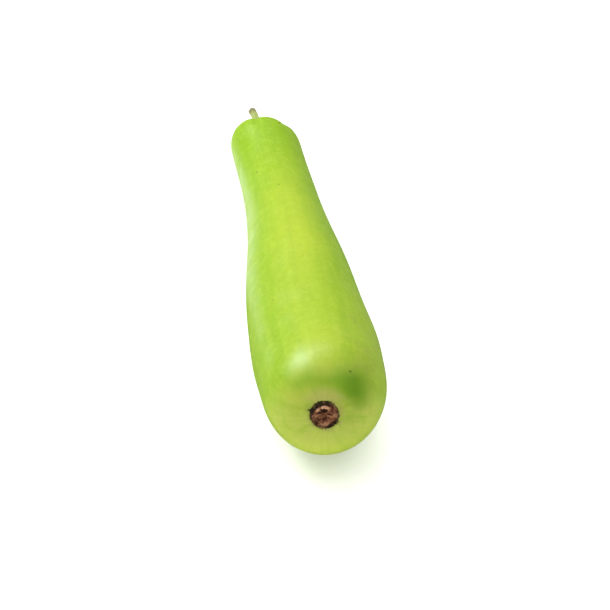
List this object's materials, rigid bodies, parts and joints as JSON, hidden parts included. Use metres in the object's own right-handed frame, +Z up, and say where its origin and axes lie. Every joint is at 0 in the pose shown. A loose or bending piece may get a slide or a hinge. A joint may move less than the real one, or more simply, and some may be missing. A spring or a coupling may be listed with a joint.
{
  "type": "bottle gourd",
  "caption": "Long green bottle gourd lying on its side, with a broad blossom end, a narrower neck, a cut stem and a corky blossom scar.",
  "frame": {"origin": "the middle of the gourd's box, on the surface it lies on", "axes": "+Y along the fruit from the blossom end to the stem, +Z up, +X to the right when looking along +Y"},
  "size_m": [0.0882, 0.4394, 0.093],
  "materials": {
    "fruit_skin": "satin, fresh yellow-green vegetable skin",
    "stem": "matt, pale green stalk",
    "cork": "matt, dry brown corky tissue"
  },
  "bodies": {
    "root": {"fruit": "fruit_skin", "stem": "stem", "blossom_scar": "cork"}
  },
  "joints": []
}
